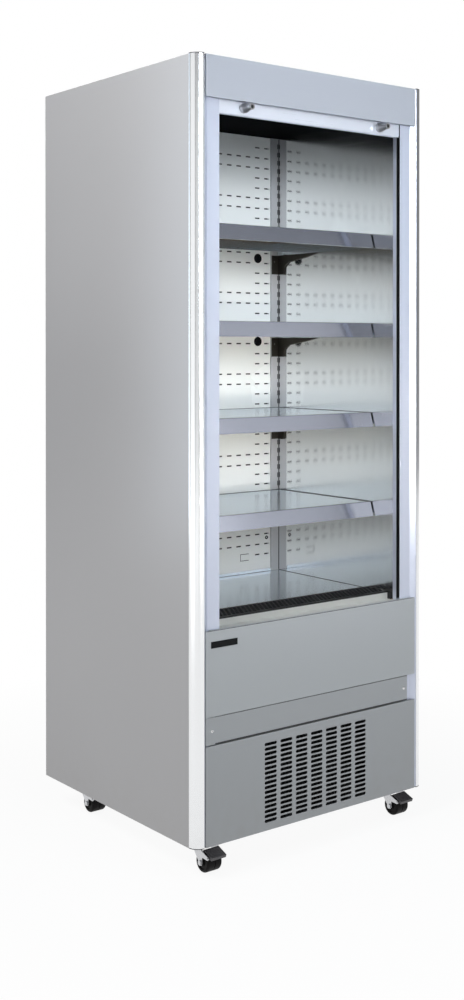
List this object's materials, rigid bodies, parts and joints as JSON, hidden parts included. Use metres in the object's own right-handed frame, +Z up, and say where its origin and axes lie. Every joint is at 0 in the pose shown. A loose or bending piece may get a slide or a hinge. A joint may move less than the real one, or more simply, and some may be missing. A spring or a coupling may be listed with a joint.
{
  "type": "refrigerated display case",
  "caption": "Upright open-front refrigerated display case with leaning price rails, a pull-down night blind, a ventilated machine compartment and braked swivel castors.",
  "frame": {"origin": "centre of the footprint at floor level, under the castors", "axes": "+Z up, -Y out of the open front, +X to the right of someone facing the front"},
  "size_m": [0.75, 0.711, 1.935],
  "materials": {
    "side_sheet": "satin",
    "foam": "matte",
    "mirror_liner": "polished",
    "corner_alloy": "satin",
    "dark_cap": "matte",
    "fascia_sheet": "satin",
    "post_sheet": "satin",
    "guide_black": "satin",
    "cloth": "matte",
    "bar_alloy": "satin",
    "bright_metal": "polished",
    "zinc_sheet": "satin",
    "duct_sheet": "gloss",
    "black_plastic": "satin",
    "upright_sheet": "satin",
    "shelf_sheet": "gloss",
    "rail_alloy": "satin",
    "bracket_sheet": "satin",
    "ceiling_black": "gloss",
    "deck_sheet": "satin",
    "sill_sheet": "satin",
    "panel_sheet": "satin",
    "badge_dark": "gloss",
    "coil_alloy": "satin",
    "dark_sheet": "satin",
    "fan_plastic": "satin",
    "copper": "satin",
    "castor_steel": "satin",
    "wheel_rubber": "satin",
    "pedal_sheet": "satin"
  },
  "bodies": {
    "cabinet": {"side_panel_left": "side_sheet", "side_panel_right": "side_sheet", "roof_panel": "side_sheet", "insulation": "foam", "side_liners": "mirror_liner", "corner_profiles": "corner_alloy", "profile_caps": "dark_cap", "canopy_fascia": "fascia_sheet", "front_posts": "post_sheet", "blind_guides": "guide_black", "blind_fabric": "cloth", "cover_screws": "bright_metal", "roller_brackets": "zinc_sheet", "back_panel": "zinc_sheet", "inner_tub": "zinc_sheet", "base_pan": "zinc_sheet", "evaporator_fan_plate": "zinc_sheet", "drip_tray": "zinc_sheet", "duct_panel": "duct_sheet", "duct_plugs": "black_plastic", "discharge_grille": "black_plastic", "return_grille": "black_plastic", "cord_gland": "black_plastic", "shelf_uprights": "upright_sheet", "shelf_1": "shelf_sheet", "shelf_2": "shelf_sheet", "shelf_3": "shelf_sheet", "shelf_4": "shelf_sheet", "price_rails": "rail_alloy", "shelf_brackets": "bracket_sheet", "ceiling_panel": "ceiling_black", "deck_panel": "deck_sheet", "sill_trim": "sill_sheet", "lower_front_panel": "panel_sheet", "cover_strip": "panel_sheet", "grille_panel": "panel_sheet", "badge_plate": "badge_dark", "evaporator": "coil_alloy", "condenser": "coil_alloy", "condenser_fan_shroud": "dark_sheet", "compressor": "dark_sheet", "control_box": "dark_sheet", "refrigerant_pipes": "copper", "castor_plates": "castor_steel"},
    "blind_bar": {"blind_bar": "bar_alloy", "blind_knobs": "bright_metal"},
    "blind_roller": {"blind_roller": "cloth"},
    "condenser_fan": {"condenser_fan": "fan_plastic"},
    "evaporator_fan_left": {"evaporator_fan_left": "fan_plastic"},
    "evaporator_fan_right": {"evaporator_fan_right": "fan_plastic"},
    "castor_front_left": {"castor_fork_front_left": "castor_steel"},
    "wheel_front_left": {"castor_wheel_front_left": "wheel_rubber"},
    "castor_front_right": {"castor_fork_front_right": "castor_steel"},
    "wheel_front_right": {"castor_wheel_front_right": "wheel_rubber"},
    "castor_rear_left": {"castor_fork_rear_left": "castor_steel"},
    "wheel_rear_left": {"castor_wheel_rear_left": "wheel_rubber"},
    "castor_rear_right": {"castor_fork_rear_right": "castor_steel"},
    "wheel_rear_right": {"castor_wheel_rear_right": "wheel_rubber"},
    "pedal_left": {"brake_pedal_left": "pedal_sheet"},
    "pedal_right": {"brake_pedal_right": "pedal_sheet"}
  },
  "joints": [
    {"name": "blind_slide", "type": "slide", "parent": "cabinet", "child": "blind_bar", "axis": [0, 0, -1], "range_m": [0, 1.21], "stiffness_N_per_m": 15, "springref_m": -1, "deforming": ["blind_fabric"]},
    {"name": "roller_spin", "type": "hinge", "parent": "cabinet", "child": "blind_roller", "pos_m": [0, -0.2895, 1.8875], "axis": [1, 0, 0], "range_deg": [0, 3080]},
    {"name": "condenser_fan_spin", "type": "hinge", "parent": "cabinet", "child": "condenser_fan", "pos_m": [-0.04, -0.2352, 0.1958], "axis": [0, 1, 0], "continuous": true},
    {"name": "evaporator_fan_left_spin", "type": "hinge", "parent": "cabinet", "child": "evaporator_fan_left", "pos_m": [-0.14, -0.1285, 0.52], "axis": [0, 1, 0], "continuous": true},
    {"name": "evaporator_fan_right_spin", "type": "hinge", "parent": "cabinet", "child": "evaporator_fan_right", "pos_m": [0.14, -0.1285, 0.52], "axis": [0, 1, 0], "continuous": true},
    {"name": "swivel_front_left", "type": "hinge", "parent": "cabinet", "child": "castor_front_left", "pos_m": [-0.288, -0.2435, 0.08], "axis": [0, 0, 1], "continuous": true},
    {"name": "roll_front_left", "type": "hinge", "parent": "castor_front_left", "child": "wheel_front_left", "pos_m": [-0.288, -0.2705, 0.025], "axis": [1, 0, 0], "continuous": true},
    {"name": "swivel_front_right", "type": "hinge", "parent": "cabinet", "child": "castor_front_right", "pos_m": [0.34, -0.2435, 0.08], "axis": [0, 0, 1], "continuous": true},
    {"name": "roll_front_right", "type": "hinge", "parent": "castor_front_right", "child": "wheel_front_right", "pos_m": [0.34, -0.2705, 0.025], "axis": [1, 0, 0], "continuous": true},
    {"name": "swivel_rear_left", "type": "hinge", "parent": "cabinet", "child": "castor_rear_left", "pos_m": [-0.288, 0.2705, 0.08], "axis": [0, 0, 1], "continuous": true},
    {"name": "roll_rear_left", "type": "hinge", "parent": "castor_rear_left", "child": "wheel_rear_left", "pos_m": [-0.288, 0.2435, 0.025], "axis": [1, 0, 0], "continuous": true},
    {"name": "swivel_rear_right", "type": "hinge", "parent": "cabinet", "child": "castor_rear_right", "pos_m": [0.34, 0.2705, 0.08], "axis": [0, 0, 1], "continuous": true},
    {"name": "roll_rear_right", "type": "hinge", "parent": "castor_rear_right", "child": "wheel_rear_right", "pos_m": [0.34, 0.2435, 0.025], "axis": [1, 0, 0], "continuous": true},
    {"name": "brake_left", "type": "hinge", "parent": "castor_front_left", "child": "pedal_left", "pos_m": [-0.288, -0.2965, 0.042], "axis": [1, 0, 0], "range_deg": [0, 14]},
    {"name": "brake_right", "type": "hinge", "parent": "castor_front_right", "child": "pedal_right", "pos_m": [0.34, -0.2965, 0.042], "axis": [1, 0, 0], "range_deg": [0, 14]}
  ],
  "couplings": [
    {"joint": "roller_spin", "follows": "blind_slide", "rad_per_m": 44.444}
  ]
}
